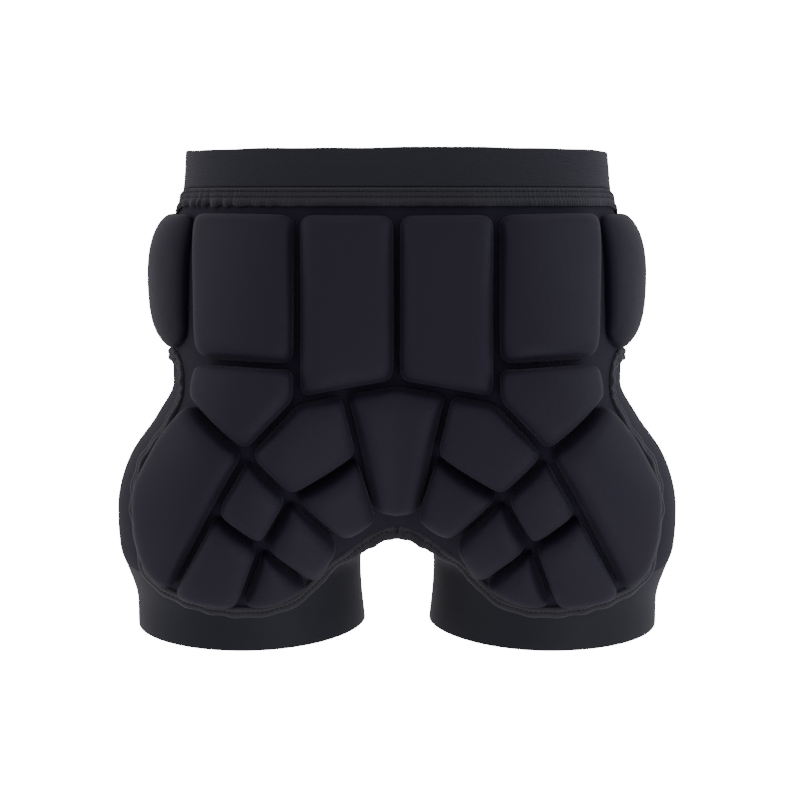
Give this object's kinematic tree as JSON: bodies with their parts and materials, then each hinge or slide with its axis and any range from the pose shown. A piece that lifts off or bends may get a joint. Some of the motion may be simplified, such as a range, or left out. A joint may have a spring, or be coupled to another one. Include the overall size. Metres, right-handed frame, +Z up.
{
  "type": "hip pad",
  "caption": "Pull-on hip pad shorts: a waistband, a padded back panel with foam pads over hips, seat and tailbone, a plain front and elastic leg bands.",
  "frame": {"origin": "centre of the waistband's loop, halfway up the band, where the wearer's waist sits", "axes": "+X to the wearer's right, +Y to the wearer's front, so the padded seat faces -Y, and +Z up"},
  "size_m": [0.435, 0.2722, 0.364],
  "materials": {
    "ribbed_elastic": "matte, fine ribs along the waist",
    "gathered_cloth": "matte knit, gathered, with two rows of stitches",
    "panel_cloth": "matte stretch knit",
    "pad_cover": "smooth stretch knit with a faint sheen over foam",
    "binding_tape": "matte folded tape, stitched along its middle",
    "leg_elastic": "smooth stretch elastic with a faint sheen"
  },
  "bodies": {
    "root": {"waistband": "ribbed_elastic", "waist_seam": "gathered_cloth", "back_panel": "panel_cloth", "front_panel": "panel_cloth", "leg_band_right": "leg_elastic", "edge_binding_right": "binding_tape", "leg_band_left": "leg_elastic", "edge_binding_left": "binding_tape", "back_pad_inner_right": "pad_cover", "back_pad_inner_left": "pad_cover", "back_pad_outer_right": "pad_cover", "back_pad_outer_left": "pad_cover", "side_pad_right": "pad_cover", "side_pad_left": "pad_cover", "hip_pad_right": "pad_cover", "hip_pad_left": "pad_cover", "thigh_pad_right": "pad_cover", "thigh_pad_left": "pad_cover", "seat_pad_upper_right": "pad_cover", "seat_pad_upper_left": "pad_cover", "seat_pad_inner_right": "pad_cover", "seat_pad_inner_left": "pad_cover", "seat_pad_middle_right": "pad_cover", "seat_pad_middle_left": "pad_cover", "seat_pad_lower_right": "pad_cover", "seat_pad_lower_left": "pad_cover", "seat_pad_outer_right": "pad_cover", "seat_pad_outer_left": "pad_cover", "seat_pad_hem_right": "pad_cover", "seat_pad_hem_left": "pad_cover", "tailbone_pad": "pad_cover"}
  },
  "joints": []
}
